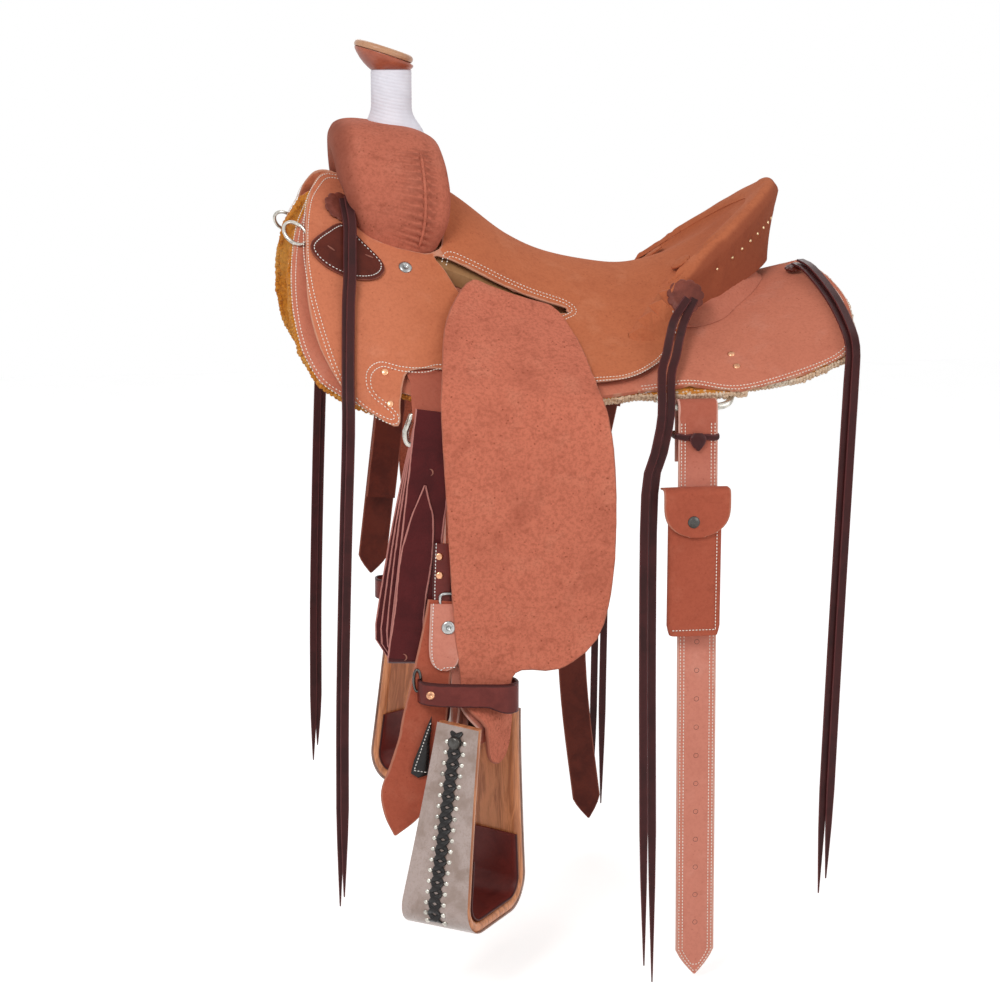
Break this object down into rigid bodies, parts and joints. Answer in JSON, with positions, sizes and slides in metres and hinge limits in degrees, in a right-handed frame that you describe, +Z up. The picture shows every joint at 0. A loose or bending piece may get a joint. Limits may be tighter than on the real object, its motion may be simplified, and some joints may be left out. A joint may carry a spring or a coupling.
{
  "type": "ranch roping saddle",
  "caption": "Western roping saddle with wrapped horn, fleece-lined skirts, fenders and turned bell stirrups, latigo, flank billet with pouch, and hanging saddle strings.",
  "frame": {"origin": "Point on the ridge line, below the middle of the seat, where the lined underside rests on a rack or a horse's back.", "axes": "-X points to the horn and the horse's head, -Y to the rider's left (the near side), +Z up."},
  "size_m": [0.7415, 0.7455, 1.2204],
  "materials": {
    "roughout_leather": "roughout, napped flesh side, mottled orange tan",
    "fork_leather": "roughout, darker reddish brown",
    "oxblood_leather": "smooth oiled",
    "string_leather": "waxed, almost black",
    "brown_leather": "smooth dark brown",
    "fleece": "deep woollen pile, orange gold",
    "wood": "varnished",
    "nickel": "nickel plated, slightly worn",
    "steel": "bare",
    "rawhide": "hard, polished tan",
    "cap_leather": "smooth copper red",
    "white_wrap": "matt white wrap"
  },
  "bodies": {
    "saddle": {"cantle_back": "roughout_leather", "concho_plate_far": "brown_leather", "concho_plate_near": "brown_leather", "fleece_far": "fleece", "fleece_near": "fleece", "fork_cover": "fork_leather", "ground_seat": "steel", "horn": "steel", "horn_cap_leather": "cap_leather", "horn_cap_rim": "rawhide", "horn_wrap": "white_wrap", "rear_dee_far": "nickel", "rear_dee_near": "nickel", "rigging_plate_far": "roughout_leather", "rigging_plate_near": "roughout_leather", "rosette_mid_far": "brown_leather", "rosette_mid_near": "brown_leather", "rosette_rear_near": "brown_leather", "seat_leather": "roughout_leather", "skirt_far": "roughout_leather", "skirt_near": "roughout_leather", "string_front_far_a": "string_leather", "string_front_far_b": "string_leather", "string_front_near_a": "string_leather", "string_front_near_b": "string_leather", "string_mid_far_a": "string_leather", "string_mid_far_b": "string_leather", "string_mid_near_a": "string_leather", "string_mid_near_b": "string_leather", "string_rear_near_a": "string_leather", "string_rear_near_b": "string_leather", "tree_bar_far": "rawhide", "tree_bar_near": "rawhide", "tree_cantle": "wood", "tree_fork": "wood"},
    "breast_far": {"breast_dee_far": "nickel"},
    "breast_near": {"breast_dee_near": "nickel"},
    "fender_set_far": {"fender_far": "roughout_leather", "hobble_strap_far": "oxblood_leather", "stirrup_leather_far": "roughout_leather"},
    "fender_set_near": {"fender_near": "roughout_leather", "hobble_strap_near": "oxblood_leather", "stirrup_leather_near": "roughout_leather"},
    "flank_far": {"flank_billet_far": "brown_leather"},
    "flank_near": {"flank_billet_near": "roughout_leather", "pouch": "roughout_leather"},
    "ring_far": {"front_ring_far": "nickel"},
    "ring_near": {"front_ring_near": "nickel"},
    "latigo_body": {"latigo_near": "oxblood_leather"},
    "stirrup_set_near": {"leather_tail_near": "roughout_leather", "stirrup_bolt_near": "steel", "stirrup_near": "wood", "tread_cover_near": "oxblood_leather"},
    "off_billet_body": {"off_billet_far": "brown_leather"},
    "flap": {"pouch_flap": "roughout_leather"},
    "stirrup_set_far": {"stirrup_bolt_far": "steel", "stirrup_far": "wood", "tread_cover_far": "oxblood_leather"}
  },
  "joints": [
    {"name": "fender_swing_near", "type": "hinge", "parent": "saddle", "child": "fender_set_near", "pos_m": [-0.098, -0.12, 0.045], "axis": [-0.1003, 0.6018, -0.7923], "range_deg": [-6, 3]},
    {"name": "stirrup_swing_near", "type": "hinge", "parent": "fender_set_near", "child": "stirrup_set_near", "pos_m": [-0.152, -0.282, -0.49], "axis": [-0.5878, -0.809, 0], "range_deg": [-20, 20]},
    {"name": "ring_turn_near", "type": "hinge", "parent": "saddle", "child": "ring_near", "pos_m": [-0.205, -0.258, -0.0885], "axis": [0.9848, -0.1736, 0], "range_deg": [-3, 8]},
    {"name": "latigo_swing", "type": "hinge", "parent": "ring_near", "child": "latigo_body", "pos_m": [-0.205, -0.258, -0.1265], "axis": [0.9848, -0.1736, 0], "range_deg": [0, 8]},
    {"name": "flank_swing_near", "type": "hinge", "parent": "saddle", "child": "flank_near", "pos_m": [0.1299, -0.2637, -0.0851], "axis": [1, 0, 0], "range_deg": [-35, 25]},
    {"name": "fender_swing_far", "type": "hinge", "parent": "saddle", "child": "fender_set_far", "pos_m": [-0.098, 0.12, 0.045], "axis": [0.1003, 0.6018, 0.7923], "range_deg": [-6, 3]},
    {"name": "stirrup_swing_far", "type": "hinge", "parent": "fender_set_far", "child": "stirrup_set_far", "pos_m": [-0.152, 0.282, -0.49], "axis": [0.5878, -0.809, 0], "range_deg": [-20, 20]},
    {"name": "ring_turn_far", "type": "hinge", "parent": "saddle", "child": "ring_far", "pos_m": [-0.205, 0.258, -0.0885], "axis": [0.9848, 0.1736, 0], "range_deg": [-8, 3]},
    {"name": "off_billet_swing", "type": "hinge", "parent": "ring_far", "child": "off_billet_body", "pos_m": [-0.205, 0.258, -0.1265], "axis": [0.9848, 0.1736, 0], "range_deg": [-8, 0]},
    {"name": "flank_swing_far", "type": "hinge", "parent": "saddle", "child": "flank_far", "pos_m": [0.1299, 0.2637, -0.0851], "axis": [1, 0, 0], "range_deg": [-30, 0]},
    {"name": "flap_open", "type": "hinge", "parent": "flank_near", "child": "flap", "pos_m": [0.1249, -0.278, -0.184], "axis": [1, 0, 0], "range_deg": [-80, 0]},
    {"name": "breast_dee_lift_near", "type": "hinge", "parent": "saddle", "child": "breast_near", "pos_m": [-0.3483, -0.126, 0.124], "axis": [0, 0.625, 0.7806], "range_deg": [0, 20]},
    {"name": "breast_dee_lift_far", "type": "hinge", "parent": "saddle", "child": "breast_far", "pos_m": [-0.3483, 0.126, 0.124], "axis": [0, 0.625, -0.7806], "range_deg": [0, 20]}
  ]
}
